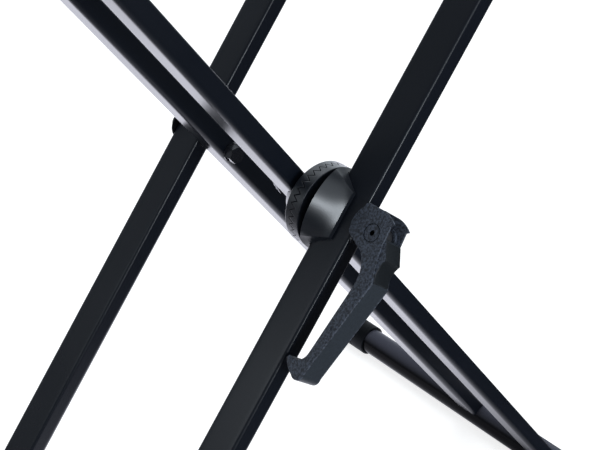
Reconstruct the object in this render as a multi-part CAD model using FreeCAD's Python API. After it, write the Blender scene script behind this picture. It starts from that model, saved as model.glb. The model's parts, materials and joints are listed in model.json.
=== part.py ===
import FreeCAD, Part
import math
import os

# Folding double-X keyboard stand. Millimetres. X runs left to right, Y from the
# front beam to the rear one, Z up. Origin: on the floor, under the pivot axis.

Vec = FreeCAD.Vector

# --- legs -------------------------------------------------------------------
leg_lean = 52.0             # degrees between a leg and the floor
foot_reach = 560.0          # pivot axis to foot bar axis, along the leg
arm_reach = 540.0           # pivot axis to support arm axis, along the leg
beam_depth = 30.0           # beam section along Y
beam_width = 16.3           # beam section across the leg
beam_wall = 1.5
beam_top_corner = 2.2       # outside radius of the two upper corners
beam_bottom_corner = 5.0    # and of the two lower ones
outer_spread = 185.4        # centre to centre of the two outer beams
clutch_gap = 23.1           # outer front beam to inner front beam
rear_gap = 2.4              # inner rear beam to outer rear beam

# --- foot bars and their rubber caps ------------------------------------------
foot_bar_diameter = 30.5
foot_bar_wall = 1.5
foot_bar_length = 540.0
foot_cap_diameter = 36.5
foot_cap_grip = 39.0        # length of the cap that wraps the bar
foot_cap_end = 5.0          # closed end of the cap
foot_cap_flat = 0.9         # depth of the flat that the cap stands on
foot_cap_round = 4.0
foot_cap_groove = 1.0

# --- support arms ---------------------------------------------------------------
arm_diameter = 25.4
arm_wall = 1.5
arm_length = 372.0
pad_length = 54.0           # ribbed rubber sleeve on each half of an arm
pad_diameter = 31.0
pad_rib_count = 9
pad_rib_depth = 0.8
stop_grip = 22.0            # end stop: length on the arm
stop_end = 5.0
stop_diameter = 31.0
stop_height = 30.0          # lip above the arm's axis
stop_lip_width = 22.0
stop_lip_thickness = 9.0

# --- clutch ---------------------------------------------------------------------
ring_diameter = 64.6
ring_width = 14.3
ring_setback = 5.5          # inner front beam to the ring's far edge
tooth_count = 36
tooth_height = 4.8
tooth_gap = 0.4             # between the two sets of teeth when locked
tooth_root_radius = 23.0    # the teeth end here, towards the axis
jaw_pocket_radius = 20.0
jaw_pocket_depth = 1.8
turn_gap = 0.3              # between faces that turn on each other
clutch_travel = 5.1         # rear jaw, draw bar and pin move this far
cheek_radius = 26.8         # rear jaw cheeks beside the beam
cheek_reach = 13.0          # past the inner beam's front face
cheek_end_radius = 17.5
dome_reach = 16.0           # past the outer beam's far face
dome_end_half = 18.0        # half length of the flat end, along the beam
dome_edge = 3.5             # upright edge where the dome meets the beam
dome_corner = 34.4          # degrees from the beam to a ridge, at the mouth
dome_roof = 24.2            # degrees, relief of the dome's mouth
dome_land = 15.6            # half width of the mouth that is not relieved
dome_soft = 1.2             # rounding of the dome's ridges
saddle_gap = 0.1            # saddle slot to beam, each side
slide_gap = 0.3             # rear jaw's slot to its beam, each side

# --- draw bar, lever and pin ------------------------------------------------------
rod_diameter = 8.0
running_gap = 0.08          # shaft in a hole, radial
fixed_gap = 0.03            # pressed or bonded pieces, radial
bush_diameter = 11.0
rod_eye_diameter = 14.0
rod_eye_width = 10.0
pin_height = 31.5           # pin axis from the outer front beam's centre
pin_diameter = 4.2
pin_recess = 1.2            # pin end below the lever's side
plate_thickness = 2.0       # thrust plate under the cam
plate_length = 27.0
plate_width = 15.6
cam_gap = 0.25
cam_swing = 88.0            # degrees that the lever opens
cam_width = 3.0
lever_plate = 1.7
lever_clearance = 0.35      # lever side plates to the beam, each side
lever_ring_radius = 7.0
lever_ring_depth = 0.5
rib_places = (-45.0, -62.0, -79.0)
rib_thickness = 1.8
spring_washer_diameter = 30.0
spring_washer_thickness = 1.2
nut_flats = 13.0
nut_height = 8.0
washer_diameter = 17.0
washer_thickness = 1.6
thread_end = 3.0            # shaft showing past a nut

# --- rear pivot -----------------------------------------------------------------
bolt_head_height = 8.0
bolt_flange_diameter = 15.4
bolt_flange_height = 1.3
cover_washer_diameter = 25.4
cover_washer_thickness = 2.0
spacer_diameter = 16.0

# --- worked out from the above ----------------------------------------------------
foot_cap_radius = foot_cap_diameter / 2
pivot_height = (foot_reach * math.sin(math.radians(leg_lean))
                + foot_cap_radius - foot_cap_flat)
half_width = beam_width / 2
half_depth = beam_depth / 2
outer_front_y = -outer_spread / 2
outer_rear_y = outer_spread / 2
inner_front_y = outer_front_y + beam_depth + clutch_gap
inner_rear_y = outer_rear_y - beam_depth - rear_gap
outer_face_y = outer_front_y + half_depth       # far face of the outer front beam
inner_face_y = inner_front_y - half_depth       # near face of the inner front beam
ring_back_y = inner_face_y - ring_setback
ring_front_y = ring_back_y - ring_width
mesh_y = (ring_back_y + ring_front_y) / 2
dome_mouth_y = ring_front_y
dome_end_y = outer_face_y - dome_reach
pin_y = outer_front_y - pin_height
plate_y = outer_front_y - half_depth            # near face of the outer front beam
rod_radius = rod_diameter / 2
bush_radius = bush_diameter / 2
ring_radius = ring_diameter / 2
lever_half = half_width + lever_clearance + lever_plate


# --- placing and small shapes -----------------------------------------------------
def in_leg(shape, lean):
    """Turn a shape from leg axes (X along the leg) and lift it to the pivot."""
    placed = shape.copy()
    placed.rotate(Vec(0, 0, 0), Vec(0, 1, 0), -lean)
    placed.translate(Vec(0, 0, pivot_height))
    return placed


def in_outer(shape):
    return in_leg(shape, leg_lean)


def in_inner(shape):
    return in_leg(shape, 180.0 - leg_lean)


def rod_along_y(radius, y_start, y_end, x=0.0, z=0.0):
    return Part.makeCylinder(radius, y_end - y_start, Vec(x, y_start, z), Vec(0, 1, 0))


def tube_along_y(radius, bore, y_start, y_end):
    outside = rod_along_y(radius, y_start, y_end)
    return outside.cut(rod_along_y(bore, y_start, y_end))


def hexagon_along_y(flats, y_start, y_end):
    corner = flats / 2 / math.cos(math.pi / 6)
    points = []
    for side in range(7):
        turn = math.radians(60 * side)
        points.append(Vec(corner * math.cos(turn), y_start, corner * math.sin(turn)))
    face = Part.Face(Part.makePolygon(points))
    return face.extrude(Vec(0, y_end - y_start, 0))


def turned(points):
    """Turn a closed outline of (radius, y) points about the Y axis."""
    corners = [Vec(radius, y, 0) for radius, y in points]
    face = Part.Face(Part.makePolygon(corners + corners[:1]))
    return face.revolve(Vec(0, 0, 0), Vec(0, 1, 0), 360)


def block(x, y, z):
    """Box between two X values, two Y values and two Z values."""
    return Part.makeBox(x[1] - x[0], y[1] - y[0], z[1] - z[0], Vec(x[0], y[0], z[0]))


def tube_section(depth, width, top, bottom, x, y):
    """Section across a leg: a rectangle with its own radius above and below."""
    half_y = depth / 2
    half_z = width / 2
    blank = block((x, x + 1), (y - half_y, y + half_y), (-half_z, half_z))
    for corner, above in ((top, True), (bottom, False)):
        edges = [edge for edge in blank.Edges
                 if edge.BoundBox.XLength > 0.9 and edge.BoundBox.YLength < 0.01
                 and (edge.CenterOfMass.z > 0) == above
                 and abs(abs(edge.CenterOfMass.z) - half_z) < 0.01
                 and abs(abs(edge.CenterOfMass.y - y) - half_y) < 0.01]
        blank = blank.makeFillet(corner, edges)
    end = [face for face in blank.Faces if abs(face.CenterOfMass.x - x) < 0.001]
    return end[0]


# --- legs -------------------------------------------------------------------------
def beam(y, bore_radius):
    """Square-cut tube between the foot bar and the support arm, bored at the pivot."""
    length = foot_reach + arm_reach
    outside = tube_section(beam_depth, beam_width, beam_top_corner, beam_bottom_corner,
                           -foot_reach, y)
    inside = tube_section(beam_depth - 2 * beam_wall, beam_width - 2 * beam_wall,
                          beam_top_corner - beam_wall, beam_bottom_corner - beam_wall,
                          -foot_reach, y)
    tube = outside.extrude(Vec(length, 0, 0)).cut(inside.extrude(Vec(length, 0, 0)))
    foot = rod_along_y(foot_bar_diameter / 2, y - beam_depth, y + beam_depth, x=-foot_reach)
    arm = rod_along_y(arm_diameter / 2, y - beam_depth, y + beam_depth, x=arm_reach)
    bore = rod_along_y(bore_radius, y - beam_depth, y + beam_depth)
    return tube.cut(foot).cut(arm).cut(bore)


def turned_over(shape):
    """Mirror a beam top to bottom: an inner leg's own axes point downward."""
    return shape.mirror(Vec(0, 0, 0), Vec(0, 0, 1))


def foot_bar():
    half = foot_bar_length / 2
    tube = tube_along_y(foot_bar_diameter / 2, foot_bar_diameter / 2 - foot_bar_wall, -half, half)
    tube.translate(Vec(-foot_reach, 0, 0))
    return tube


def support_arm():
    half = arm_length / 2
    tube = tube_along_y(arm_diameter / 2, arm_diameter / 2 - arm_wall, -half, half)
    tube.translate(Vec(arm_reach, 0, 0))
    return tube


def at_foot(shape, side):
    """Move a piece made about the Y axis to the foot of the leg on one side."""
    reach = foot_reach * math.cos(math.radians(leg_lean))
    placed = shape.copy()
    placed.translate(Vec(side * reach, 0, foot_cap_radius - foot_cap_flat))
    return placed


def foot_cap(end):
    """Rubber cap on a foot bar: rounded blind end, grip rings, flat underneath."""
    bar_end = foot_bar_length / 2
    outer_end = bar_end + foot_cap_end
    mouth = bar_end - foot_cap_grip
    body = rod_along_y(foot_cap_radius, mouth, outer_end)
    body = body.makeFillet(foot_cap_round, [round_edge(body, outer_end)])
    body = body.makeFillet(foot_cap_groove, [round_edge(body, mouth)])
    body = body.cut(rod_along_y(foot_bar_diameter / 2 + fixed_gap, mouth, bar_end))
    for place in (0.45, 0.6, 0.75):
        y = mouth + place * (outer_end - mouth)
        ring = Part.makeTorus(foot_cap_radius + foot_cap_groove / 2, foot_cap_groove,
                              Vec(0, y, 0), Vec(0, 1, 0))
        body = body.cut(ring)
    floor = foot_cap_radius - foot_cap_flat
    body = body.cut(block((-40, 40), (mouth - 1, outer_end + 1), (-40, -floor)))
    return facing(body, end)


def round_edge(shape, y):
    """The circular edge of a turned shape that lies wholly at one Y value."""
    for edge in shape.Edges:
        box = edge.BoundBox
        if abs(box.YMin - y) < 0.001 and abs(box.YMax - y) < 0.001:
            return edge
    raise ValueError("no edge at that place")


def facing(shape, end):
    """Keep a piece made for the rear end, or turn it round for the front end."""
    if end > 0:
        return shape
    placed = shape.copy()
    placed.rotate(Vec(0, 0, 0), Vec(0, 0, 1), 180)
    return placed


# --- arms -------------------------------------------------------------------------
def at_arm(shape, side):
    reach = arm_reach * math.cos(math.radians(leg_lean))
    rise = pivot_height + arm_reach * math.sin(math.radians(leg_lean))
    placed = shape.copy()
    placed.translate(Vec(side * reach, 0, rise))
    return placed


def arm_pad(end):
    """Ribbed rubber sleeve that the keyboard rests on."""
    outer_y = arm_length / 2 - stop_grip - turn_gap
    inner_y = outer_y - pad_length
    pitch = pad_length / pad_rib_count
    crest = pad_diameter / 2
    outline = [(arm_diameter / 2 + fixed_gap, inner_y), (crest - pad_rib_depth, inner_y)]
    for rib in range(pad_rib_count):
        start = inner_y + rib * pitch
        outline.append((crest, start + 0.25 * pitch))
        outline.append((crest, start + 0.75 * pitch))
        outline.append((crest - pad_rib_depth, start + pitch))
    outline.append((arm_diameter / 2 + fixed_gap, outer_y))
    return facing(turned(outline), end)


def arm_stop(end):
    """Rubber end stop with a lip that keeps the keyboard on the arm."""
    arm_end = arm_length / 2
    mouth = arm_end - stop_grip
    outer_end = arm_end + stop_end
    body = rod_along_y(stop_diameter / 2, mouth, outer_end)
    lip = block((-stop_lip_width / 2, stop_lip_width / 2),
                (outer_end - stop_lip_thickness, outer_end), (0, stop_height))
    upright = [edge for edge in lip.Edges
               if edge.BoundBox.YLength > 1 and edge.BoundBox.ZMin > stop_height - 0.001]
    lip = lip.makeFillet(stop_lip_width / 2 - 1, upright)
    body = body.fuse(lip)
    body = body.cut(rod_along_y(arm_diameter / 2 + fixed_gap, mouth, arm_end))
    return facing(body.removeSplitter(), end)


# --- clutch -------------------------------------------------------------------------
def tooth_cutter(centre_y, side, turn):
    """Everything in front of a ring of face teeth whose flanks meet on the axis.

    side is the direction from the teeth into the metal, along Y.
    """
    radius = ring_radius + 2
    half = tooth_height / 2 * radius / ring_radius
    front = centre_y - side * 2 * tooth_height
    crests = []
    rims = []
    for corner in range(2 * tooth_count):
        angle = math.radians(180.0 / tooth_count * corner + turn)
        depth = half if corner % 2 == 0 else -half
        x = radius * math.cos(angle)
        z = radius * math.sin(angle)
        crests.append(Vec(x, centre_y + side * depth, z))
        rims.append(Vec(x, front, z))
    middle = Vec(0, centre_y, 0)
    faces = [Part.Face(Part.makePolygon(rims + rims[:1]))]
    for corner in range(2 * tooth_count):
        here = crests[corner - 1]
        there = crests[corner]
        faces.append(Part.Face(Part.makePolygon([middle, here, there, middle])))
        wall = [here, there, rims[corner], rims[corner - 1], here]
        faces.append(Part.Face(Part.makePolygon(wall)))
    solid = Part.makeSolid(Part.makeShell(faces))
    if solid.Volume < 0:
        solid.reverse()
    return solid


def toothed(blank, centre_y, side, turn):
    """Cut face teeth into a blank and leave a flat floor inside them."""
    disc = blank.cut(tooth_cutter(centre_y, side, turn))
    root = centre_y + side * tooth_height / 2
    front = centre_y - side * tooth_height
    return disc.cut(rod_along_y(tooth_root_radius, min(root, front), max(root, front)))


front_floor_y = mesh_y - tooth_gap / 2 - tooth_height / 2
rear_floor_y = mesh_y + tooth_gap / 2 + tooth_height / 2


def front_jaw():
    """Front toothed disc: teeth to the rear, pocket for the spring washers."""
    near = ring_front_y + turn_gap
    mesh = mesh_y - tooth_gap / 2
    blank = rod_along_y(ring_radius, near, mesh + tooth_height / 2)
    blank = blank.makeFillet(0.6, [round_edge(blank, near)])
    disc = toothed(blank, mesh, -1, 180.0 / tooth_count)
    pocket = rod_along_y(jaw_pocket_radius, front_floor_y - jaw_pocket_depth, front_floor_y + 1)
    disc = disc.cut(pocket)
    return disc.cut(rod_along_y(rod_radius + running_gap, near - 1, front_floor_y))


def rear_jaw():
    """Rear toothed disc with the cheeks that straddle the inner front beam."""
    mesh = mesh_y + tooth_gap / 2
    blank = rod_along_y(ring_radius, mesh - tooth_height / 2, ring_back_y)
    blank = blank.makeFillet(1.2, [round_edge(blank, ring_back_y)])
    disc = toothed(blank, mesh, 1, 0.0)
    cheek_end = inner_face_y + cheek_reach
    cheeks = turned([(0, ring_back_y - 2), (cheek_radius, ring_back_y - 2),
                     (cheek_radius, ring_back_y), (cheek_end_radius, cheek_end - 2),
                     (cheek_end_radius - 2, cheek_end), (0, cheek_end)])
    disc = disc.fuse(cheeks)
    slot = half_width + slide_gap
    disc = disc.cut(block((-ring_diameter, ring_diameter), (ring_back_y, cheek_end + 1),
                          (-slot, slot)))
    bore = rod_along_y(rod_radius + running_gap, rear_floor_y - 1, ring_back_y + 1)
    return disc.cut(bore).removeSplitter()


def mouth_rise(z):
    """How far the dome's mouth stands back from the ring, at one height on it."""
    return math.tan(math.radians(dome_roof)) * max(0.0, abs(z) - dome_land)


def dome_sides():
    """Ruled body from the round mouth to the oblong end, carried on to the ring's face.

    Each rule runs from the mouth's edge to the end's outline. Its start is carried on
    past the mouth to the plane of the ring, and the mouth is cut into the body later.
    """
    depth = dome_mouth_y - dome_end_y
    edge_z = half_width + dome_edge
    corners = [(dome_end_half, -edge_z), (dome_end_half, edge_z),
               (-dome_end_half, edge_z), (-dome_end_half, -edge_z)]
    bounds = [-dome_corner, dome_corner, 180 - dome_corner, 180 + dome_corner, 360 - dome_corner]
    mouth_edges = []
    end_edges = []
    steps = 8
    for side in range(4):
        start = corners[side]
        finish = corners[(side + 1) % 4]
        points = []
        for step in range(steps + 1):
            share = step / steps
            angle = math.radians(bounds[side] + (bounds[side + 1] - bounds[side]) * share)
            rim = (ring_radius * math.cos(angle), ring_radius * math.sin(angle))
            end = (start[0] + (finish[0] - start[0]) * share,
                   start[1] + (finish[1] - start[1]) * share)
            rise = mouth_rise(rim[1])
            carry = rise / (depth - rise)
            points.append(Vec(rim[0] + (rim[0] - end[0]) * carry, dome_mouth_y,
                              rim[1] + (rim[1] - end[1]) * carry))
        curve = Part.BSplineCurve()
        curve.interpolate(points)
        mouth_edges.append(curve.toShape())
        end_edges.append(Part.makeLine(Vec(start[0], dome_end_y, start[1]),
                                       Vec(finish[0], dome_end_y, finish[1])))
    return Part.makeLoft([Part.Wire(mouth_edges), Part.Wire(end_edges)], True, True)


def clutch_dome():
    """Housing that saddles the outer front beam: round mouth, four ridges, oblong end."""
    far = 2 * ring_radius
    body = dome_sides()
    relief = [(dome_mouth_y, dome_land), (dome_mouth_y - mouth_rise(far), far),
              (dome_mouth_y + 1, far), (dome_mouth_y + 1, dome_land)]
    for turn in (1, -1):
        points = [Vec(-far, y, turn * z) for y, z in relief]
        wedge = Part.Face(Part.makePolygon(points + points[:1])).extrude(Vec(2 * far, 0, 0))
        body = body.cut(wedge)
    ridges = []
    for edge in body.Edges:
        box = edge.BoundBox
        if box.YLength > 8 and box.XLength > 3 and box.ZLength > 3:
            ridges.append(edge)
    body = body.makeFillet(dome_soft, ridges)
    slot = half_width + saddle_gap
    body = body.cut(block((-far, far), (dome_end_y - 1, outer_face_y), (-slot, slot)))
    return body.cut(rod_along_y(rod_radius + turn_gap, dome_end_y - 1, dome_mouth_y + 1))


def spring_washers():
    """Pair of coned spring washers, rim to rim, pressed between the jaws."""
    start = front_floor_y - jaw_pocket_depth
    last = rear_floor_y - turn_gap
    middle = (start + last) / 2
    bore = rod_radius + turn_gap
    rim = spring_washer_diameter / 2
    thick = spring_washer_thickness
    return turned([(bore, start), (rim, middle - thick / 2), (rim, middle + thick / 2),
                   (bore, last), (bore, last - thick), (rim - 2 * thick, middle),
                   (bore, start + thick)])


# --- draw bar -------------------------------------------------------------------------
sleeve_end_y = inner_front_y + half_depth + 0.6


def front_bush():
    """Bush through the outer front beam that the draw bar slides in."""
    return tube_along_y(bush_radius, rod_radius + running_gap,
                        outer_front_y - half_depth, outer_face_y)


def thrust_sleeve():
    """Sleeve through the inner front beam, from the rear jaw to the nut's washer."""
    return tube_along_y(bush_radius, rod_radius + running_gap, ring_back_y, sleeve_end_y)


def draw_bar():
    """Bar from the lever's pin to the nut, with a flat-sided eye at the pin."""
    washer_end = sleeve_end_y + running_gap + washer_thickness
    shaft = rod_along_y(rod_radius, pin_y, washer_end + nut_height + thread_end)
    tip = round_edge(shaft, washer_end + nut_height + thread_end)
    shaft = shaft.makeChamfer(0.8, [tip])
    eye = Part.makeCylinder(rod_eye_diameter / 2, rod_eye_width,
                            Vec(0, pin_y, -rod_eye_width / 2), Vec(0, 0, 1))
    bar = shaft.fuse(eye)
    hole = Part.makeCylinder(pin_diameter / 2 + fixed_gap, 2 * rod_eye_width,
                             Vec(0, pin_y, -rod_eye_width), Vec(0, 0, 1))
    return bar.cut(hole)


def draw_nut():
    return collared_nut(sleeve_end_y + running_gap + washer_thickness)


def draw_washer():
    start = sleeve_end_y + running_gap
    return tube_along_y(washer_diameter / 2, rod_radius + turn_gap, start, start + washer_thickness)


def thrust_plate():
    """Plate on the outer beam's near face that the lever's cams press."""
    plate = block((-plate_length / 2, plate_length / 2), (plate_y - plate_thickness, plate_y),
                  (-plate_width / 2, plate_width / 2))
    corners = [edge for edge in plate.Edges if edge.BoundBox.YLength > 1]
    plate = plate.makeFillet(3.0, corners)
    return plate.cut(rod_along_y(rod_radius + running_gap, plate_y - 5, plate_y + 5))


def lever_pin():
    half = lever_half - pin_recess
    return Part.makeCylinder(pin_diameter / 2, 2 * half, Vec(0, pin_y, -half), Vec(0, 0, 1))


# --- lever --------------------------------------------------------------------------
def lever_point(along, out):
    """Point on the lever's side: along the beam, and out from the beam's centre.

    The outlines are drawn for a pin that stands 31.5 out, and grow with it.
    """
    size = pin_height / 31.5
    return Vec(size * along, outer_front_y - size * out, 0)


def lever_path(steps):
    """Closed outline: a pair is a straight run's end, a quad an arc's middle and end."""
    edges = []
    here = lever_point(*steps[0])
    for step in steps[1:]:
        there = lever_point(*step[-2:])
        if len(step) == 2:
            edges.append(Part.makeLine(here, there))
        else:
            edges.append(Part.Arc(here, lever_point(*step[:2]), there).toShape())
        here = there
    return Part.Face(Part.Wire(edges))


def lever_slab(face, half):
    slab = face.copy()
    slab.translate(Vec(0, 0, -half))
    return slab.extrude(Vec(0, 0, 2 * half))


def lever_side():
    """Side outline: round hub over the beam, long handle, hooked tip."""
    return lever_path([
        (-7.6, 13.4),
        (1.2, 10.8, 13.7, 14.9),
        (16.9, 16.2, 17.5, 18.6),
        (17.4, 29.0),
        (16.2, 38.0, 12.2, 45.7),
        (10.6, 43.4),
        (1.0, 44.4),
        (-16.5, 47.6, -30.0, 52.8),
        (-107.0, 38.8),
        (-113.6, 35.6, -112.6, 29.0),
        (-109.5, 23.4, -104.2, 18.2),
        (-101.8, 19.8),
        (-100.6, 29.0, -92.5, 33.6),
        (-37.0, 39.6),
        (-23.0, 36.9, -14.7, 30.3),
        (-7.6, 13.4),
    ])


def thumb_rest():
    """Raised, scooped rest between the side plates."""
    return lever_path([
        (0.0, 42.0),
        (-0.2, 45.9),
        (-11.7, 53.0),
        (-20.0, 50.7, -28.5, 52.9),
        (-34.0, 49.0),
        (-30.0, 46.0),
        (0.0, 42.0),
    ])


def lever_hollow():
    """Space inside the lever: hub, window above it, channel along the handle."""
    return lever_path([
        (22.0, 5.0),
        (22.0, 56.0),
        (0.5, 56.0),
        (0.5, 41.2),
        (-14.0, 43.6),
        (-31.0, 49.2),
        (-98.0, 37.0),
        (-98.0, 5.0),
        (22.0, 5.0),
    ])


def cam(z_start):
    """Cam whose reach falls evenly as the lever opens."""
    reach = pin_height - half_depth - plate_thickness - cam_gap
    fall = clutch_travel / math.radians(cam_swing)
    points = []
    steps = 6
    for step in range(steps + 1):
        angle = math.radians(90 - cam_swing * step / steps)
        lift = reach - clutch_travel * step / steps
        x = lift * math.cos(angle) - fall * math.sin(angle)
        y = lift * math.sin(angle) + fall * math.cos(angle)
        points.append(Vec(x, pin_y + y, z_start))
    curve = Part.BSplineCurve()
    curve.interpolate(points)
    centre = Vec(0, pin_y, z_start)
    wire = Part.Wire([curve.toShape(), Part.makeLine(points[-1], centre),
                      Part.makeLine(centre, points[0])])
    sector = Part.Face(wire).extrude(Vec(0, 0, cam_width))
    hub = Part.makeCylinder(reach - clutch_travel, cam_width, centre, Vec(0, 0, 1))
    return hub.fuse(sector)


def lever_ribs():
    ribs = []
    for place in rib_places:
        ribs.append(block((place, place + rib_thickness),
                          (outer_front_y - 2 * pin_height, outer_front_y),
                          (-lever_half + 0.5, lever_half - 0.5)))
    return Part.makeCompound(ribs)


def lever():
    """Forked cam lever, moulded in one piece."""
    inside = lever_half - lever_plate
    body = lever_slab(lever_side(), lever_half)
    body = body.fuse(lever_slab(thumb_rest(), lever_half - 1.2))
    body = body.cut(lever_slab(lever_hollow(), inside))
    ribs = lever_ribs().common(lever_slab(lever_side(), lever_half))
    body = body.fuse(ribs)
    for z in (-inside, inside - cam_width):
        body = body.fuse(cam(z))
    for z in (-lever_half, lever_half - lever_ring_depth):
        body = body.cut(Part.makeCylinder(lever_ring_radius, lever_ring_depth,
                                          Vec(0, pin_y, z), Vec(0, 0, 1)))
    hole = Part.makeCylinder(pin_diameter / 2 + running_gap, 3 * lever_half,
                             Vec(0, pin_y, -1.5 * lever_half), Vec(0, 0, 1))
    return body.cut(hole).removeSplitter()


# --- rear pivot -----------------------------------------------------------------------
rear_nut_y = outer_rear_y + half_depth + turn_gap


def inner_rear_bush():
    return tube_along_y(bush_radius, rod_radius + fixed_gap,
                        inner_rear_y - half_depth, inner_rear_y + half_depth)


def outer_rear_bush():
    return tube_along_y(bush_radius, rod_radius + running_gap,
                        outer_rear_y - half_depth, outer_rear_y + half_depth)


def rear_bolt():
    """Flanged hexagon bolt through both rear beams."""
    seat = inner_rear_y - half_depth
    flange = rod_along_y(bolt_flange_diameter / 2, seat - bolt_flange_height, seat)
    head = hexagon_along_y(nut_flats, seat - bolt_head_height, seat - bolt_flange_height)
    shaft_end = rear_nut_y + cover_washer_thickness + nut_height + thread_end
    shaft = rod_along_y(rod_radius, seat, shaft_end)
    shaft = shaft.makeChamfer(0.8, [round_edge(shaft, shaft_end)])
    return flange.fuse(head).fuse(shaft).removeSplitter()


def cover_washer():
    """Wide round-edged washer over the outer rear beam's far face."""
    end = rear_nut_y + cover_washer_thickness
    washer = rod_along_y(cover_washer_diameter / 2, rear_nut_y, end)
    washer = washer.makeFillet(1.2, [round_edge(washer, end)])
    return washer.cut(rod_along_y(rod_radius + fixed_gap, rear_nut_y, end))


def collared_nut(start):
    nut = hexagon_along_y(nut_flats, start, start + nut_height - 2)
    collar = rod_along_y(nut_flats / 2 - 0.4, start + nut_height - 2, start + nut_height)
    nut = nut.fuse(collar)
    return nut.cut(rod_along_y(rod_radius + fixed_gap, start, start + nut_height))


def rear_nut():
    return collared_nut(rear_nut_y + cover_washer_thickness)


def pivot_spacer():
    """Washer that keeps the two rear beams apart."""
    start = inner_rear_y + half_depth
    return tube_along_y(spacer_diameter / 2, rod_radius + fixed_gap, start,
                        start + rear_gap - turn_gap)


# --- the whole stand --------------------------------------------------------------------
def pieces():
    fixed_bore = bush_radius + fixed_gap
    sliding_bore = bush_radius + running_gap
    stand = {
        "outer_front_beam": in_outer(beam(outer_front_y, fixed_bore)),
        "outer_rear_beam": in_outer(beam(outer_rear_y, fixed_bore)),
        "inner_front_beam": in_inner(turned_over(beam(inner_front_y, sliding_bore))),
        "inner_rear_beam": in_inner(turned_over(beam(inner_rear_y, fixed_bore))),
        "outer_foot_bar": in_outer(foot_bar()),
        "inner_foot_bar": in_inner(foot_bar()),
        "outer_support_arm": in_outer(support_arm()),
        "inner_support_arm": in_inner(support_arm()),
        "clutch_dome": in_outer(clutch_dome()),
        "front_jaw": in_inner(front_jaw()),
        "rear_jaw": in_inner(rear_jaw()),
        "spring_washers": in_inner(spring_washers()),
        "front_bush": in_outer(front_bush()),
        "thrust_sleeve": in_inner(thrust_sleeve()),
        "draw_bar": in_outer(draw_bar()),
        "draw_nut": in_outer(draw_nut()),
        "draw_washer": in_outer(draw_washer()),
        "thrust_plate": in_outer(thrust_plate()),
        "lever": in_outer(lever()),
        "lever_pin": in_outer(lever_pin()),
        "inner_rear_bush": in_inner(inner_rear_bush()),
        "outer_rear_bush": in_outer(outer_rear_bush()),
        "rear_bolt": in_inner(rear_bolt()),
        "cover_washer": in_inner(cover_washer()),
        "rear_nut": in_inner(rear_nut()),
        "pivot_spacer": in_inner(pivot_spacer()),
    }
    for frame, foot_side in (("outer", -1), ("inner", 1)):
        for place, end in (("front", -1), ("rear", 1)):
            stand[f"{frame}_foot_cap_{place}"] = at_foot(foot_cap(end), foot_side)
            stand[f"{frame}_arm_pad_{place}"] = at_arm(arm_pad(end), -foot_side)
            stand[f"{frame}_arm_stop_{place}"] = at_arm(arm_stop(end), -foot_side)
    return stand


os.makedirs("parts", exist_ok=True)
for name, shape in pieces().items():
    if not shape.isValid():
        print("not valid:", name)
    shape.exportStep(f"parts/{name}.step")
    print(f"{name}: {len(shape.Solids)} solid, {shape.Volume / 1000:.2f} cm3")
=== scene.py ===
import json
import math

import bmesh
import bpy
from mathutils import Matrix, Vector


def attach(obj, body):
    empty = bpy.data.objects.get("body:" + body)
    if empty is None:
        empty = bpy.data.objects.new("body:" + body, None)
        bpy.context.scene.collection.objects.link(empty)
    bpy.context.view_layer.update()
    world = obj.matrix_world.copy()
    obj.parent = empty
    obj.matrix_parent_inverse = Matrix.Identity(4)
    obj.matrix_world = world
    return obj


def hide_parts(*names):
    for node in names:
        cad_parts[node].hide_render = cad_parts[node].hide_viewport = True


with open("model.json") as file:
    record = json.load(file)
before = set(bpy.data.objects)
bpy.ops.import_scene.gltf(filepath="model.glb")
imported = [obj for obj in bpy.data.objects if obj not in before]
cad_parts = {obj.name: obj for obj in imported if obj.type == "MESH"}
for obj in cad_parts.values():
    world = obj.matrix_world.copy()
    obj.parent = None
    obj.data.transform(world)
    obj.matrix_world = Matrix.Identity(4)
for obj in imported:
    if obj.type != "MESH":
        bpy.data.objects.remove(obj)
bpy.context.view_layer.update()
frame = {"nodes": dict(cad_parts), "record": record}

scene = bpy.context.scene
scene.view_settings.view_transform = "Standard"

# pieces are drawn in millimetres, on a leg's own axes, and finished in metres
mm = 0.001
leg = {"lean": 52.0, "footReach": 560.0, "armReach": 540.0, "depth": 30.0, "width": 16.3,
       "topCorner": 2.2, "bottomCorner": 5.0}
bar = {"footRadius": 15.25, "footHalf": 270.0, "armRadius": 12.7, "armHalf": 186.0,
       "wall": 1.5, "edge": 0.6}
capSize = {"radius": 18.25, "flat": 0.9}
capAxisZ = capSize["radius"] - capSize["flat"]
pivotZ = leg["footReach"] * math.sin(math.radians(leg["lean"])) + capAxisZ


# materials

def newMaterial(name):
    material = bpy.data.materials.new(name)
    material.use_nodes = True
    material.node_tree.nodes.clear()
    return material, material.node_tree


def ramp(tree, value, ends, levels=(0.0, 1.0), smooth=False):
    node = tree.nodes.new("ShaderNodeMapRange")
    node.interpolation_type = "SMOOTHSTEP" if smooth else "LINEAR"
    node.inputs["From Min"].default_value = ends[0]
    node.inputs["From Max"].default_value = ends[1]
    node.inputs["To Min"].default_value = levels[0]
    node.inputs["To Max"].default_value = levels[1]
    tree.links.new(value, node.inputs["Value"])
    return node.outputs["Result"]


def scaled(tree, colour, factor):
    node = tree.nodes.new("ShaderNodeVectorMath")
    node.operation = "SCALE"
    tree.links.new(colour, node.inputs[0])
    tree.links.new(factor, node.inputs["Scale"])
    return node.outputs["Vector"]


def noise(tree, coords, scale, detail, roughness=0.5):
    node = tree.nodes.new("ShaderNodeTexNoise")
    node.inputs["Scale"].default_value = scale
    node.inputs["Detail"].default_value = detail
    node.inputs["Roughness"].default_value = roughness
    tree.links.new(coords.outputs["Object"], node.inputs["Vector"])
    return node.outputs["Fac"]


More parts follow.
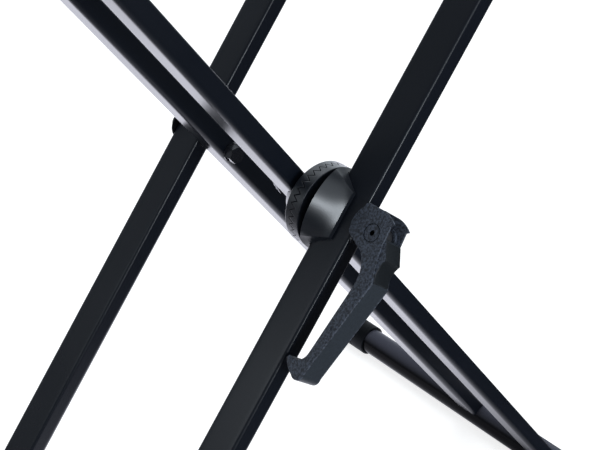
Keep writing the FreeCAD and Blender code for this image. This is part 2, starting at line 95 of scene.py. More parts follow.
def toothDistance(tree, coords, teeth):
    # how far a point of the toothed ring lies from the zigzag where the jaws meet
    nodes = tree.nodes
    links = tree.links

    def step(operation, first, second=None):
        node = nodes.new("ShaderNodeMath")
        node.operation = operation
        links.new(first, node.inputs[0])
        if second is not None:
            node.inputs[1].default_value = second
        return node

    centred = nodes.new("ShaderNodeVectorMath")
    centred.operation = "SUBTRACT"
    centred.inputs[1].default_value = (0, teeth["mesh"] * mm, pivotZ * mm)
    links.new(coords.outputs["Object"], centred.inputs[0])
    split = nodes.new("ShaderNodeSeparateXYZ")
    links.new(centred.outputs["Vector"], split.inputs["Vector"])
    turn = step("ARCTAN2", split.outputs["Z"])
    links.new(split.outputs["X"], turn.inputs[1])
    shifted = step("SUBTRACT", turn.outputs["Value"], math.radians(teeth["phase"]))
    counted = step("MULTIPLY", shifted.outputs["Value"], teeth["count"] / (2 * math.pi))
    wave = step("PINGPONG", counted.outputs["Value"], 0.5)
    line = step("MULTIPLY_ADD", wave.outputs["Value"], -2 * teeth["height"] * mm)
    line.inputs[2].default_value = teeth["height"] / 2 * mm
    away = step("SUBTRACT", split.outputs["Y"])
    links.new(line.outputs["Value"], away.inputs[1])
    size = step("ABSOLUTE", away.outputs["Value"])
    return step("MULTIPLY", size.outputs["Value"], teeth["slant"]).outputs["Value"]


def toothGrooveAndShade(tree, coords, shader, tint, grain, teeth):
    # painted shade: a dark line along the zigzag where the jaws meet, with the gloss taken out of
    # it; a groove is bumped in along it; gives the surface's height
    away = toothDistance(tree, coords, teeth)
    edge = ramp(tree, away, (teeth["gap"], teeth["edge"]), smooth=True)
    dark = ramp(tree, edge, (0.0, 1.0), (teeth["dark"], 1.0))
    tree.links.new(scaled(tree, tint, dark), shader.inputs["Base Color"])
    # no gloss in the line either, more painted shade
    sheen = ramp(tree, edge, (0.0, 1.0), (0.0, 0.5))
    tree.links.new(sheen, shader.inputs["Specular IOR Level"])
    raised = tree.nodes.new("ShaderNodeMath")
    raised.operation = "MULTIPLY_ADD"
    raised.inputs[1].default_value = teeth["grain"]
    tree.links.new(grain, raised.inputs[0])
    tree.links.new(edge, raised.inputs[2])
    return raised.outputs["Value"]


def paintTopHighlight(tree, coords, tint, rise):
    # painted highlight and shade: paler towards the top of a lying bar, darker below
    split = tree.nodes.new("ShaderNodeSeparateXYZ")
    tree.links.new(coords.outputs["Object"], split.inputs["Vector"])
    heights = (rise["from"] * mm, rise["to"] * mm)
    highlightShare = ramp(tree, split.outputs["Z"], heights, (rise["low"], rise["high"]), smooth=True)
    return scaled(tree, tint, highlightShare)


drift = {"scale": 9.0, "detail": 4.0, "from": 0.3, "to": 0.7, "roughness": 0.03}


def grainedPaint(name, look):
    material, tree = newMaterial(name)
    nodes = tree.nodes
    links = tree.links
    output = nodes.new("ShaderNodeOutputMaterial")
    shader = nodes.new("ShaderNodeBsdfPrincipled")
    links.new(shader.outputs["BSDF"], output.inputs["Surface"])
    shader.inputs["Metallic"].default_value = look.get("metallic", 0.0)
    shader.inputs["IOR"].default_value = look.get("ior", 1.5)
    coords = nodes.new("ShaderNodeTexCoord")

    # slow drift of colour and gloss
    slow = noise(tree, coords, drift["scale"], drift["detail"])
    colours = nodes.new("ShaderNodeMix")
    colours.data_type = "RGBA"
    colours.inputs["A"].default_value = (*look["colour"], 1)
    colours.inputs["B"].default_value = (*look["colour2"], 1)
    links.new(slow, colours.inputs["Factor"])
    rough = look["roughness"]
    gloss = ramp(tree, slow, (drift["from"], drift["to"]),
                 (rough - drift["roughness"], rough + drift["roughness"]))
    links.new(gloss, shader.inputs["Roughness"])

    # fine grain
    grain = noise(tree, coords, look["grainScale"], look.get("grainDetail", 3.0), 0.6)
    span, spots = look.get("grainSpan", 0.15), look.get("speckle", 0.1)
    speckle = ramp(tree, grain, (0.5 - span, 0.5 + span), (1.0 - spots, 1.0 + spots))
    tint = scaled(tree, colours.outputs["Result"], speckle)
    # painted light: the base colour is paler on top as a painted highlight and darker below as
    # painted shade
    if look.get("rise"):
        tint = paintTopHighlight(tree, coords, tint, look["rise"])
    links.new(tint, shader.inputs["Base Color"])
    relief = grain
    # painted shade along the zigzag where the jaws meet
    if look.get("teeth"):
        relief = toothGrooveAndShade(tree, coords, shader, tint, grain, look["teeth"])
    if look.get("bump"):
        bump = nodes.new("ShaderNodeBump")
        bump.inputs["Strength"].default_value = look["bump"]
        bump.inputs["Distance"].default_value = look.get("bumpDepth", 0.0002)
        links.new(relief, bump.inputs["Height"])
        links.new(bump.outputs["Normal"], shader.inputs["Normal"])
    return material


looks = {
    "beam_paint": {"colour": (0.0034, 0.0048, 0.0082), "colour2": (0.0046, 0.0062, 0.0102),
                   "roughness": 0.29, "grainScale": 900.0, "speckle": 0.06, "ior": 1.34},
    "bar_paint": {"colour": (0.0036, 0.0048, 0.0080), "colour2": (0.0050, 0.0064, 0.0100),
                  "roughness": 0.26, "grainScale": 900.0, "speckle": 0.06, "ior": 1.34},
    # foot bars: painted highlight on their tops, painted shade underneath
    "foot_paint": {"colour": (0.0090, 0.0090, 0.0115), "colour2": (0.0115, 0.0115, 0.0145),
                   "roughness": 0.24, "grainScale": 900.0, "speckle": 0.06, "ior": 1.11,
                   "rise": {"from": 23.0, "to": 32.5, "low": 0.3, "high": 6.5}},
    "dome_plastic": {"colour": (0.0045, 0.0060, 0.0090), "colour2": (0.0062, 0.0080, 0.0115),
                     "roughness": 0.35, "grainScale": 1400.0, "speckle": 0.25, "bump": 0.05,
                     "ior": 1.55},
    "jaw_plastic": {"colour": (0.0050, 0.0064, 0.0095), "colour2": (0.0072, 0.0090, 0.0130),
                    "roughness": 0.30, "grainScale": 900.0, "speckle": 0.4, "bump": 0.5,
                    "bumpDepth": 0.0003, "ior": 1.5,
                    # painted shade along the zigzag where the jaws meet, with a bumped groove
                    "teeth": {"count": 36, "height": 4.8, "mesh": -67.25, "phase": 8.0,
                              "slant": 0.506, "gap": 0.00012, "edge": 0.00062, "dark": 0.4,
                              "grain": 0.16}},
    "lever_plastic": {"colour": (0.0260, 0.0315, 0.0440), "colour2": (0.0340, 0.0405, 0.0550),
                      "roughness": 0.50, "grainScale": 640.0, "grainDetail": 2.0,
                      "grainSpan": 0.11, "speckle": 0.6, "bump": 0.8, "bumpDepth": 0.0003,
                      "ior": 1.4},
    "lever_smooth": {"colour": (0.0150, 0.0195, 0.0255), "colour2": (0.0195, 0.0250, 0.0330),
                     "roughness": 0.45, "grainScale": 900.0, "speckle": 0.2, "bump": 0.1,
                     "ior": 1.4},
    "lever_dark": {"colour": (0.0050, 0.0068, 0.0088), "colour2": (0.0072, 0.0094, 0.0115),
                   "roughness": 0.42, "grainScale": 900.0, "speckle": 0.2, "bump": 0.1,
                   "ior": 1.35},
    # the lever pin: dark steel, made near-black and dull as painted shade in the pin holes
    "pin_steel_and_shade": {"colour": (0.0010, 0.0012, 0.0018), "colour2": (0.0016, 0.0018, 0.0025),
                  "roughness": 0.4, "grainScale": 1200.0, "ior": 1.2},
    "bush_plastic": {"colour": (0.010, 0.011, 0.014), "colour2": (0.014, 0.015, 0.018),
                     "roughness": 0.5, "grainScale": 1500.0, "bump": 0.1},
    "bare_steel": {"colour": (0.13, 0.13, 0.14), "colour2": (0.18, 0.18, 0.19),
                   "roughness": 0.42, "metallic": 1.0, "grainScale": 900.0, "bump": 0.05},
    "dark_steel": {"colour": (0.006, 0.007, 0.010), "colour2": (0.009, 0.010, 0.014),
                   "roughness": 0.28, "grainScale": 1200.0, "bump": 0.04},
    "cap_rubber": {"colour": (0.0020, 0.0026, 0.0038), "colour2": (0.0030, 0.0037, 0.0052),
                   "roughness": 0.55, "grainScale": 1400.0, "speckle": 0.2, "bump": 0.2,
                   "ior": 1.15},
    "pad_rubber": {"colour": (0.0040, 0.0050, 0.0070), "colour2": (0.0060, 0.0070, 0.0095),
                   "roughness": 0.58, "grainScale": 1400.0, "speckle": 0.2, "bump": 0.2,
                   "ior": 1.35},
}
finishes = {name: grainedPaint(name, look) for name, look in looks.items()}
print("materials:", len(finishes))

slotOf = {part["node"]: part["material_slot"] for part in frame["record"]["subparts"]}
for name, node in frame["nodes"].items():
    for slot in node.material_slots:
        slot.material = finishes[slotOf[name]]
    if not node.material_slots:
        node.data.materials.append(finishes[slotOf[name]])
print("nodes dressed:", len(frame["nodes"]))

softEdges = {"front_jaw": 0.3, "rear_jaw": 0.3}
for name, width in softEdges.items():
    edge = frame["nodes"][name].modifiers.new("soft_edges", "BEVEL")
    edge.width = width * mm
    edge.segments = 2
    edge.limit_method = "ANGLE"
    edge.angle_limit = math.radians(32)


# shapes

def legPlace(which):
    turn = leg["lean"] if which == "outer" else 180.0 - leg["lean"]
    lift = Matrix.Translation((0, 0, pivotZ))
    return lift @ Matrix.Rotation(math.radians(-turn), 4, "Y")


def finishPiece(name, shape, settings, place):
    # a shape in millimetres becomes a named piece on its body
    bmesh.ops.remove_doubles(shape, verts=shape.verts, dist=0.0005)
    bmesh.ops.transform(shape, matrix=place, verts=shape.verts)
    bmesh.ops.scale(shape, vec=(mm, mm, mm), verts=shape.verts)
    bmesh.ops.recalc_face_normals(shape, faces=shape.faces)
    mesh = bpy.data.meshes.new(name)
    shape.to_mesh(mesh)
    shape.free()
    for face in mesh.polygons:
        face.use_smooth = True
    mesh.set_sharp_from_angle(angle=math.radians(settings.get("sharp", 35)))
    mesh.materials.append(finishes[settings.get("look", settings["slot"])])
    if settings.get("sideLook"):
        mesh.materials.append(finishes[settings["sideLook"]])
        sideways = place.to_3x3() @ Vector((0, 0, 1))
        for face in mesh.polygons:
            face.material_index = 1 if abs(face.normal.dot(sideways)) > 0.9 else 0
    piece = bpy.data.objects.new(name, mesh)
    scene.collection.objects.link(piece)
    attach(piece, settings["body"])
    if settings.get("replaces"):
        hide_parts(*settings["replaces"])


def arcPoints(start, middle, end, count):
    # points after start, up to end, on the circle through all three
    ax, ay = start
    bx, by = middle
    cx, cy = end
    d = 2 * (ax * (by - cy) + bx * (cy - ay) + cx * (ay - by))
    a2, b2, c2 = ax * ax + ay * ay, bx * bx + by * by, cx * cx + cy * cy
    ux = (a2 * (by - cy) + b2 * (cy - ay) + c2 * (ay - by)) / d
    uy = (a2 * (cx - bx) + b2 * (ax - cx) + c2 * (bx - ax)) / d
    radius = math.hypot(ax - ux, ay - uy)
    first = math.atan2(ay - uy, ax - ux)
    half = math.atan2(by - uy, bx - ux)
    last = math.atan2(cy - uy, cx - ux)
    turn = (last - first) % (2 * math.pi)
    if (half - first) % (2 * math.pi) > turn:
        turn -= 2 * math.pi
    return [(ux + radius * math.cos(first + turn * k / count),
             uy + radius * math.sin(first + turn * k / count)) for k in range(1, count + 1)]


def pathPoints(steps, count=10):
    # a step of four numbers is an arc, through the first pair to the second
    points = [steps[0]]
    for step in steps[1:]:
        if len(step) == 2:
            points.append(step)
        else:
            points += arcPoints(points[-1], step[:2], step[2:], count)
    if math.dist(points[0], points[-1]) < 0.001:
        points.pop()
    return points


def spun(outline, turns=96):
    # closed outline of (radius, y) turned about the Y axis
    shape = bmesh.new()
    corners = [shape.verts.new((radius, y, 0)) for radius, y in outline]
    edges = []
    for index, corner in enumerate(corners):
        following = corners[(index + 1) % len(corners)]
        if corner.co.x < 0.001 and following.co.x < 0.001:
            continue
        edges.append(shape.edges.new((corner, following)))
    bmesh.ops.spin(shape, geom=corners + edges, cent=(0, 0, 0), axis=(0, 1, 0),
                   angle=2 * math.pi, steps=turns, use_merge=True)
    bmesh.ops.remove_doubles(shape, verts=shape.verts, dist=0.0005)
    return shape


def joined(shape, more):
    mesh = bpy.data.meshes.new("loose")
    more.to_mesh(mesh)
    more.free()
    shape.from_mesh(mesh)
    bpy.data.meshes.remove(mesh)
    return shape


def slab(outline, low, high, bevel=0.0, shape=None):
    # flat outline of (x, y) between two heights, its rims rounded
    own = bmesh.new()
    bottom = own.faces.new([own.verts.new((x, y, low)) for x, y in outline])
    grown = bmesh.ops.extrude_face_region(own, geom=[bottom])
    lifted = [item for item in grown["geom"] if isinstance(item, bmesh.types.BMVert)]
    bmesh.ops.translate(own, vec=(0, 0, high - low), verts=lifted)
    bmesh.ops.recalc_face_normals(own, faces=own.faces)
    if bevel:
        rims = [edge for edge in own.edges
                if abs(edge.verts[0].co.z - edge.verts[1].co.z) < 0.001]
        bmesh.ops.bevel(own, geom=rims, offset=bevel, segments=3, profile=0.5,
                        affect="EDGES", material=-1, clamp_overlap=True)
    return joined(shape, own) if shape else own


def roundedSection(depth, width, above, below, flats, bends):
    # points round a box section, from the near face, as (y, n)
    points = []
    corners = [(-1, -1, below, 180), (1, -1, below, 270), (1, 1, above, 0), (-1, 1, above, 90)]
    starts = []
    for sideY, sideN, radius, start in corners:
        y = sideY * (depth / 2 - radius)
        n = sideN * (width / 2 - radius)
        bend = []
        for step in range(bends + 1):
            angle = math.radians(start + 90 * step / bends)
            bend.append((y + radius * math.cos(angle), n + radius * math.sin(angle)))
        starts.append(bend)
    for index, bend in enumerate(starts):
        points += bend
        lastY, lastN = bend[-1]
        endY, endN = starts[(index + 1) % 4][0]
        for step in range(1, flats):
            share = step / flats
            points.append((lastY + (endY - lastY) * share, lastN + (endN - lastN) * share))
    return points


# legs

def beam(name, y, which):
    section = roundedSection(leg["depth"], leg["width"], leg["topCorner"], leg["bottomCorner"],
                             flats=8, bends=8)
    if which == "inner":
        # an inner leg's own axes point downward
        section = [(across, -n) for across, n in section]
    shape = bmesh.new()
    rings = []
    sunk = 0.3
    for share in (0.0, 0.004, 0.25, 0.5, 0.75, 0.996, 1.0):
        ring = []
        for across, n in section:
            # both ends are fish-mouthed, and reach a little into the bars
            foot = -leg["footReach"] + math.sqrt(bar["footRadius"] ** 2 - n * n) - sunk
            arm = leg["armReach"] - math.sqrt(bar["armRadius"] ** 2 - n * n) + sunk
            ring.append(shape.verts.new((foot + (arm - foot) * share, y + across, n)))
        rings.append(ring)
    count = len(section)
    for here, there in zip(rings, rings[1:]):
        for index in range(count):
            following = (index + 1) % count
            shape.faces.new((here[index], here[following], there[following], there[index]))
    shape.faces.new(rings[0])
    shape.faces.new(list(reversed(rings[-1])))
    finishPiece(name + "_tube", shape, {"slot": "beam_paint", "body": f"{which}_frame",
                                        "replaces": [name], "sharp": 50}, legPlace(which))


beamPlaces = {"outer_front_beam": -92.7, "outer_rear_beam": 92.7,
              "inner_front_beam": -39.6, "inner_rear_beam": 60.3}
for name, y in beamPlaces.items():
    beam(name, y, name.split("_")[0])
print("beams:", len(beamPlaces))


def crossTube(name, radius, half, along, which, look):
    edge, bore = bar["edge"], radius - bar["wall"]
    outline = [(bore, -half), (radius - edge, -half), (radius, -half + edge),
               (radius, half - edge), (radius - edge, half), (bore, half)]
    shape = spun(outline, 128)
    bmesh.ops.translate(shape, vec=(along, 0, 0), verts=shape.verts)
    finishPiece(name + "_tube", shape, {"slot": "bar_paint", "look": look,
                                        "body": f"{which}_frame", "replaces": [name]},
                legPlace(which))


for which in ("outer", "inner"):
    crossTube(f"{which}_foot_bar", bar["footRadius"], bar["footHalf"], -leg["footReach"], which,
              "foot_paint")
    crossTube(f"{which}_support_arm", bar["armRadius"], bar["armHalf"], leg["armReach"], which,
              "bar_paint")
print("bars: 4")


# rubber

def endPlace(which, high, end):
    reach = leg["armReach"] if high else leg["footReach"]
    side = -1 if (which == "outer") != high else 1
    x = side * reach * math.cos(math.radians(leg["lean"]))
    z = pivotZ + reach * math.sin(math.radians(leg["lean"])) if high else capAxisZ
    turn = Matrix.Identity(4) if end > 0 else Matrix.Rotation(math.pi, 4, "Z")
    return Matrix.Translation((x, 0, z)) @ turn


capLook = {"bore": 15.28, "mouth": 231.0, "end": 275.0, "round": 4.0, "lip": 1.0,
           "grooves": (0.45, 0.6, 0.75), "grooveHalf": 0.95, "grooveDepth": 0.5}


def footCap(which, end):
    radius, mouth, outer = capSize["radius"], capLook["mouth"], capLook["end"]
    lip, bend = capLook["lip"], capLook["round"]
    outline = [(0, bar["footHalf"]), (capLook["bore"], bar["footHalf"]),
               (capLook["bore"], mouth + 0.5), (capLook["bore"] + 0.5, mouth)]
    for step in range(7):
        angle = math.radians(90 * step / 6)
        outline.append((radius - lip + lip * math.sin(angle), mouth + lip - lip * math.cos(angle)))
    for share in capLook["grooves"]:
        y = mouth + share * (outer - mouth)
        for step in range(9):
            angle = math.radians(180 * step / 8)
            outline.append((radius - capLook["grooveDepth"] * math.sin(angle),
                            y - capLook["grooveHalf"] * math.cos(angle)))
    for step in range(9):
        angle = math.radians(90 * step / 8)
        outline.append((radius - bend + bend * math.cos(angle),
                        outer - bend + bend * math.sin(angle)))
    outline.append((0, outer))
    shape = spun(outline, 128)
    for vert in shape.verts:
        vert.co.z = max(vert.co.z, capSize["flat"] - radius)
    place = "front" if end < 0 else "rear"
    name = f"{which}_foot_cap_{place}"
    finishPiece(name + "_rubber", shape, {"slot": "cap_rubber", "body": f"{which}_frame",
                                          "replaces": [name], "sharp": 60},
                endPlace(which, False, end))


stopLook = {"radius": 15.5, "bore": 12.73, "grip": 22.0, "end": 191.0, "mouthEdge": 0.8,
            "round": 1.6, "lipFoot": 2.0, "lipHeight": 30.0, "lipWidth": 22.0, "lipThick": 9.0,
            "lipRound": 1.4}
padLook = {"radius": 15.5, "bore": 12.73, "ribs": 9, "depth": 0.8, "length": 54.0,
           "end": bar["armHalf"] - stopLook["grip"] - 0.3}


def armPad(which, end):
    radius, depth = padLook["radius"], padLook["depth"]
    start = padLook["end"] - padLook["length"]
    pitch = padLook["length"] / padLook["ribs"]
    outline = [(padLook["bore"], start)]
    for rib in range(padLook["ribs"]):
        for step in range(10):
            share = step / 10
            swell = max(0.0, math.sin(math.pi * share)) ** 0.45
            outline.append((radius - depth + depth * swell, start + pitch * (rib + share)))
    outline += [(radius - depth, padLook["end"]), (padLook["bore"], padLook["end"])]
    place = "front" if end < 0 else "rear"
    name = f"{which}_arm_pad_{place}"
    finishPiece(name + "_rubber", spun(outline, 96),
                {"slot": "pad_rubber", "body": f"{which}_frame", "replaces": [name], "sharp": 60},
                endPlace(which, True, end))


def armStop(which, end):
    radius, outer = stopLook["radius"], stopLook["end"]
    edge, bend = stopLook["mouthEdge"], stopLook["round"]
    mouth = bar["armHalf"] - stopLook["grip"]
    outline = [(0, bar["armHalf"]), (stopLook["bore"], bar["armHalf"]),
               (stopLook["bore"], mouth), (radius - edge, mouth), (radius, mouth + edge)]
    for step in range(7):
        angle = math.radians(90 * step / 6)
        outline.append((radius - bend + bend * math.cos(angle),
                        outer - bend + bend * math.sin(angle)))
    outline.append((0, outer))
    shape = spun(outline, 96)
    half, foot = stopLook["lipWidth"] / 2, stopLook["lipFoot"]
    shoulder = stopLook["lipHeight"] - half
    tab = [(-half, foot), (half, foot), (half, shoulder + 1)]
    for step in range(1, 16):
        angle = math.radians(180 * step / 16)
        tab.append((half * math.cos(angle), shoulder + half * math.sin(angle)))
    tab.append((-half, shoulder + 1))
    lip = slab(tab, 0, stopLook["lipThick"], bevel=stopLook["lipRound"])
    # the tab is drawn flat, then stood up against the stop's end
    stand = Matrix(((1, 0, 0, 0), (0, 0, -1, outer), (0, 1, 0, 0), (0, 0, 0, 1)))
    bmesh.ops.transform(lip, matrix=stand, verts=lip.verts)
    joined(shape, lip)
    place = "front" if end < 0 else "rear"
    name = f"{which}_arm_stop_{place}"
    finishPiece(name + "_rubber", shape, {"slot": "cap_rubber", "body": f"{which}_frame",
                                          "replaces": [name], "sharp": 50},
                endPlace(which, True, end))


for which in ("outer", "inner"):
    for end in (-1, 1):
        footCap(which, end)
        armPad(which, end)
        armStop(which, end)
print("rubber pieces: 12")


# lever

lever = {"half": 10.2, "plate": 1.7, "pin": 31.5, "edge": 0.55, "ring": 7.0, "ringDepth": 0.5,
         "groove": 6.1, "grooveDepth": 1.2, "hole": 2.15, "pit": (-70.5, 41.1),
         "pitRadius": 1.1, "pitDepth": 0.6, "sunk": 0.3}
camSize = {"width": 3.0, "swing": 88.0, "travel": 5.1, "rest": 17.25, "back": 262.0,
           "backFrom": -6.0}
ribs = {"at": (-45.0, -62.0, -79.0), "thick": 1.8, "footFrom": (-37.0, 39.6),
        "footSlope": 0.108, "headFrom": (-31.0, 49.2), "headSlope": 0.182}
thumbSize = {"inset": 1.2, "edge": 0.8}

# outlines as (along the beam, out from its centre)
leverBack = [(-16.5, 47.6, -30.0, 52.8), (-107.0, 38.8), (-113.6, 35.6, -112.6, 29.0),
             (-109.5, 23.4, -104.2, 18.2), (-101.8, 19.8)]
leverSide = [(-7.6, 13.4), (1.2, 10.8, 13.7, 14.9), (16.9, 16.2, 17.5, 18.6), (17.4, 29.0),
             (16.2, 38.0, 12.2, 45.7), (10.6, 43.4), (1.0, 44.4), *leverBack,
             (-100.6, 29.0, -92.5, 33.6), (-37.0, 39.6), (-23.0, 36.9, -14.7, 30.3),
             (-7.6, 13.4)]
leverWeb = [(0.5, 41.2), (0.5, 44.45), *leverBack, (-101.6, 28.0, -98.0, 31.7),
            (-98.0, 37.0), (-31.0, 49.2), (-14.0, 43.6)]
thumbRest = [(0.0, 42.0), (-0.2, 45.9), (-11.7, 53.0), (-20.0, 50.7, -28.5, 52.9),
             (-34.0, 49.0), (-30.0, 46.0)]


def leverFlip(shape):
    # from the outlines' flat axes to the outer front beam's
    flip = Matrix(((1, 0, 0, 0), (0, -1, 0, beamPlaces["outer_front_beam"]), (0, 0, 1, 0),
                   (0, 0, 0, 1)))
    bmesh.ops.transform(shape, matrix=flip, verts=shape.verts)
    bmesh.ops.recalc_face_normals(shape, faces=shape.faces)


def round2d(x, y, radius, count=48):
    return [(x + radius * math.cos(2 * math.pi * step / count),
             y + radius * math.sin(2 * math.pi * step / count)) for step in range(count)]


def carved(shape, tools):
    # the shape less the tools, both in the same axes
    things = []
    for name, part in (("blank", shape), ("tools", tools)):
        mesh = bpy.data.meshes.new(name)
        part.to_mesh(mesh)
        part.free()
        thing = bpy.data.objects.new(name, mesh)
        scene.collection.objects.link(thing)
        things.append(thing)
    blank, cutter = things
    cut = blank.modifiers.new("cut", "BOOLEAN")
    cut.operation = "DIFFERENCE"
    cut.solver = "EXACT"
    cut.object = cutter
    graph = bpy.context.evaluated_depsgraph_get()
    whole = blank.evaluated_get(graph)
    result = bmesh.new()
    result.from_mesh(whole.to_mesh())
    whole.to_mesh_clear()
    for thing in things:
        mesh = thing.data
        bpy.data.objects.remove(thing)
        bpy.data.meshes.remove(mesh)
    return result


def pinHole(low, high):
    return slab(round2d(0, lever["pin"], lever["hole"], 32), low, high)


def sunkDisc(face, side, depth, outline, shape=None):
    # a cutter from just outside a plate's face to a depth below it
    return slab(outline, *sorted((face - side * depth, face + side)), shape=shape)


def ringGroove(face, side):
    # turned about Y, then stood on the plate's face
    inner, outer, depth = lever["groove"], lever["ring"], side * lever["grooveDepth"]
    groove = spun([(inner, -side), (outer, -side), (outer, depth), (inner, depth)], 48)
    stand = Matrix(((1, 0, 0, 0), (0, 0, 1, lever["pin"]), (0, -1, 0, face), (0, 0, 0, 1)))
    bmesh.ops.transform(groove, matrix=stand, verts=groove.verts)
    bmesh.ops.recalc_face_normals(groove, faces=groove.faces)
    return groove


def leverPlate(side):
    # one side plate with its ring recess, pin hole and mould pit
    face = side * lever["half"]
    low, high = sorted((side * (lever["half"] - lever["plate"]), face))
    plate = slab(pathPoints(leverSide), low, high, lever["edge"])
    tools = sunkDisc(face, side, lever["ringDepth"], round2d(0, lever["pin"], lever["ring"]))
    sunkDisc(face, side, lever["pitDepth"], round2d(*lever["pit"], lever["pitRadius"], 24), tools)
    plate = carved(plate, tools)
    plate = carved(plate, ringGroove(face, side))
    return carved(plate, pinHole(low - 1, high + 1))


def camOutline():
    # closed, it presses the thrust plate; as it opens, the pin comes in by its travel
    reach = lever["pin"] - camSize["rest"]
    swing, travel = math.radians(camSize["swing"]), camSize["travel"]
    fall = travel / swing
    outline = []
    for step in range(13):
        angle = math.pi / 2 - swing * step / 12
        lift = reach - travel * step / 12
        outline.append((lift * math.cos(angle) - fall * math.sin(angle),
                        lever["pin"] - lift * math.sin(angle) - fall * math.cos(angle)))
    heel = reach - travel
    for step in range(1, 24):
        angle = math.radians(camSize["backFrom"]) - math.radians(camSize["back"]) * step / 24
        outline.append((heel * math.cos(angle), lever["pin"] - heel * math.sin(angle)))
    return outline


def leverHandle():
    inside = lever["half"] - lever["plate"]
    web = inside + lever["sunk"]
    handle = joined(leverPlate(1), leverPlate(-1))
    cams = slab(camOutline(), -web, -inside + camSize["width"])
    slab(camOutline(), inside - camSize["width"], web, shape=cams)
    joined(handle, carved(cams, pinHole(-lever["half"], lever["half"])))
    leverFlip(handle)
    finishPiece("lever_handle", handle, {"slot": "lever_plastic", "body": "lever",
                                         "replaces": ["lever"], "sharp": 40}, legPlace("outer"))


def leverWebbing():
    web = lever["half"] - lever["plate"] + lever["sunk"]
    back = slab(pathPoints(leverWeb), -web, web)
    footX, footY = ribs["footFrom"]
    headX, headY = ribs["headFrom"]
    for place in ribs["at"]:
        foot = footY + (place - footX) * ribs["footSlope"]
        head = headY + (place - headX) * ribs["headSlope"]
        end = place + ribs["thick"]
        slab([(place, foot), (end, foot), (end, head + lever["sunk"]), (place, head)], -web, web,
             shape=back)
    leverFlip(back)
    finishPiece("lever_back", back, {"slot": "lever_plastic", "look": "lever_smooth",
                                     "body": "lever", "sharp": 40}, legPlace("outer"))


def leverThumbRest():
    half = lever["half"] - thumbSize["inset"]
    thumb = slab(pathPoints(thumbRest), -half, half, thumbSize["edge"])
    leverFlip(thumb)
    finishPiece("lever_thumb_rest", thumb, {"slot": "lever_plastic", "look": "lever_dark",
                                            "sideLook": "lever_plastic", "body": "lever",
                                            "sharp": 40}, legPlace("outer"))


leverHandle()
leverWebbing()
leverThumbRest()


pinLook = {"radius": 2.1, "hollow": 1.7, "depth": 5.0, "half": 9.0, "edge": 0.15}


def leverPin():
    # hollow at both ends, lying across the lever; its near-black steel is partly painted shade for
    # the pin holes
    radius, half, edge = pinLook["radius"], pinLook["half"], pinLook["edge"]
    floor = half - pinLook["depth"]
    outline = [(0, -floor), (pinLook["hollow"], -floor), (pinLook["hollow"], -half),
               (radius - edge, -half), (radius, -half + edge), (radius, half - edge),
               (radius - edge, half), (pinLook["hollow"], half), (pinLook["hollow"], floor),
               (0, floor)]
    pin = spun(outline, 32)
    pinY = beamPlaces["outer_front_beam"] - lever["pin"]
    across = Matrix(((1, 0, 0, 0), (0, 0, -1, pinY), (0, 1, 0, 0), (0, 0, 0, 1)))
    bmesh.ops.transform(pin, matrix=across, verts=pin.verts)
    finishPiece("lever_pin_tube", pin, {"slot": "dark_steel", "look": "pin_steel_and_shade",
                                        "body": "pull_rod", "replaces": ["lever_pin"]},
                legPlace("outer"))


leverPin()
print("lever made")


# floor and light

def rampAlong(tree, point, direction, ends, levels):
    # goes smoothly from one level to the other along a direction
    along = tree.nodes.new("ShaderNodeVectorMath")
    along.operation = "DOT_PRODUCT"
    along.inputs[1].default_value = direction
    tree.links.new(point, along.inputs[0])
    return ramp(tree, along.outputs["Value"], ends, levels, smooth=True)


def floorWhite(name, settings):
    material, tree = newMaterial(name)
    nodes = tree.nodes
    links = tree.links
    output = nodes.new("ShaderNodeOutputMaterial")
    path = nodes.new("ShaderNodeLightPath")
    plain = nodes.new("ShaderNodeBsdfDiffuse")
    plain.inputs["Color"].default_value = (*settings["colour"], 1)
    glow = nodes.new("ShaderNodeEmission")
    glow.inputs["Color"].default_value = (1, 1, 1, 1)
    glow.inputs["Strength"].default_value = settings["glow"]
    added = nodes.new("ShaderNodeAddShader")
    links.new(plain.outputs["BSDF"], added.inputs[0])
    links.new(glow.outputs["Emission"], added.inputs[1])

    # what shiny pieces see of the floor: dark in front, bright behind
    coords = nodes.new("ShaderNodeTexCoord")
    depth = rampAlong(tree, coords.outputs["Object"], settings["along"], settings["alongEnds"],
                      settings["alongLevels"])
    aside = rampAlong(tree, coords.outputs["Object"], settings["aside"], settings["asideEnds"],
                      settings["asideLevels"])
    both = nodes.new("ShaderNodeMath")
    both.operation = "MULTIPLY"
    links.new(depth, both.inputs[0])
    links.new(aside, both.inputs[1])
    seen = nodes.new("ShaderNodeEmission")
    seen.inputs["Color"].default_value = (*settings["tint"], 1)
    links.new(both.outputs["Value"], seen.inputs["Strength"])
    mix = nodes.new("ShaderNodeMixShader")
    links.new(path.outputs["Is Glossy Ray"], mix.inputs["Fac"])
    links.new(added.outputs["Shader"], mix.inputs[1])
    links.new(seen.outputs["Emission"], mix.inputs[2])
    links.new(mix.outputs["Shader"], output.inputs["Surface"])
    return material


floorLook = {"size": 30.0, "colour": (0.60, 0.58, 0.56), "glow": 0.73,
             "along": (-0.8, 1.0, 0.0), "alongEnds": (-0.46, 0.08), "alongLevels": (0.03, 2.15),
             "aside": (1.0, 0.35, 0.0), "asideEnds": (-0.5, 0.2), "asideLevels": (0.1, 1.0),
             "tint": (0.96, 0.97, 1.09)}


def studioFloor():
    mesh = bpy.data.meshes.new("floor")
    shape = bmesh.new()
    bmesh.ops.create_grid(shape, x_segments=1, y_segments=1, size=floorLook["size"] / 2)
    shape.to_mesh(mesh)
    shape.free()
    floor = bpy.data.objects.new("floor", mesh)
    floor.data.materials.append(floorWhite("floor_white", floorLook))
    scene.collection.objects.link(floor)


studioFloor()

sky = {"colour": (0.84, 0.92, 1.0), "level": 0.34}
skyGlows = [{"toward": (0.6, 0.8, 0.0), "ends": (0.45, 0.85), "glow": 1.6},
            {"toward": (0.2, -0.87, 0.45), "ends": (0.72, 0.97), "glow": 1.0}]


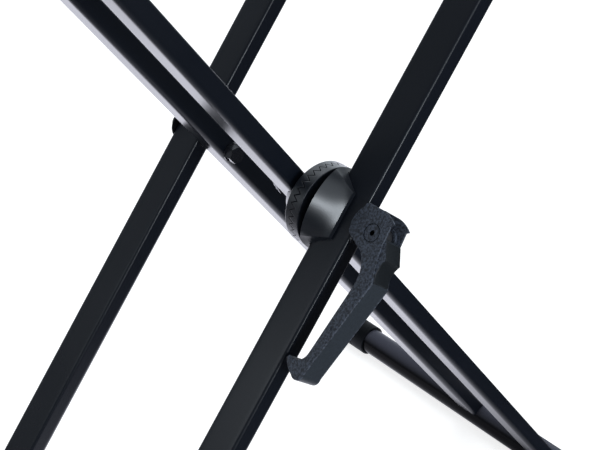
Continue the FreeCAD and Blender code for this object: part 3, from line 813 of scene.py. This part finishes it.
def studioWorld():
    # even soft light with two brighter quarters; white where the camera looks past the floor
    world = bpy.data.worlds.new("studio")
    world.use_nodes = True
    nodes = world.node_tree.nodes
    links = world.node_tree.links
    nodes.clear()
    coords = nodes.new("ShaderNodeTexCoord")
    soft = nodes.new("ShaderNodeBackground")
    soft.inputs["Color"].default_value = (*sky["colour"], 1)
    level = None
    for quarter in skyGlows:
        glow = rampAlong(world.node_tree, coords.outputs["Generated"], quarter["toward"],
                         quarter["ends"], (0.0, quarter["glow"]))
        total = nodes.new("ShaderNodeMath")
        total.operation = "ADD"
        total.inputs[0].default_value = sky["level"]
        if level is not None:
            links.new(level, total.inputs[0])
        links.new(glow, total.inputs[1])
        level = total.outputs["Value"]
    links.new(level, soft.inputs["Strength"])
    white = nodes.new("ShaderNodeBackground")
    white.inputs["Color"].default_value = (1, 1, 1, 1)
    path = nodes.new("ShaderNodeLightPath")
    mix = nodes.new("ShaderNodeMixShader")
    links.new(path.outputs["Is Camera Ray"], mix.inputs["Fac"])
    links.new(soft.outputs["Background"], mix.inputs[1])
    links.new(white.outputs["Background"], mix.inputs[2])
    output = nodes.new("ShaderNodeOutputWorld")
    links.new(mix.outputs["Shader"], output.inputs["Surface"])
    return world


scene.world = studioWorld()

lampColour = (0.86, 0.93, 1.0)
lampTarget = Vector((0, 0, 0.45))
lamps = {
    "top_soft": {"at": (0.6, 0.6, 2.6), "size": 1.6, "power": 14.0},
    "front_soft": {"at": (-0.37, -2.24, 0.72), "size": 0.45, "power": 23.0},
    "left_soft": {"at": (-2.05, 1.25, 1.28), "size": 0.6, "power": 3.2},
}


def lampAt(name, lamp):
    data = bpy.data.lights.new(name, "AREA")
    data.shape = "SQUARE"
    data.size = lamp["size"]
    data.energy = lamp["power"]
    data.color = lampColour
    light = bpy.data.objects.new(name, data)
    light.location = lamp["at"]
    aim = lampTarget - Vector(lamp["at"])
    light.rotation_mode = "QUATERNION"
    light.rotation_quaternion = aim.to_track_quat("-Z", "Y")
    scene.collection.objects.link(light)


for name, lamp in lamps.items():
    lampAt(name, lamp)
print("lamps:", len(lamps))


# camera

photo = {"focalPixels": 1183.0, "pixelsAcross": 600.0, "sensor": 36.0,
         "fromPivot": (-0.4941, -0.6260, 0.4145),
         "right": (0.76741, -0.64112, 0.00610), "upward": (0.31665, 0.38727, 0.86588)}


def photoCamera():
    # stands where the photograph was taken from
    data = bpy.data.cameras.new("camera")
    data.sensor_width = photo["sensor"]
    data.lens = photo["focalPixels"] * photo["sensor"] / photo["pixelsAcross"]
    data.clip_start = 0.05
    data.clip_end = 60.0
    camera = bpy.data.objects.new("camera", data)
    right, upward = Vector(photo["right"]), Vector(photo["upward"])
    back = right.cross(upward)
    turned = Matrix((right, upward, back)).transposed().to_4x4()
    stand = Vector(photo["fromPivot"]) + Vector((0, 0, pivotZ * mm))
    camera.matrix_world = Matrix.Translation(stand) @ turned
    scene.collection.objects.link(camera)
    return camera


scene.camera = photoCamera()
print("camera placed")
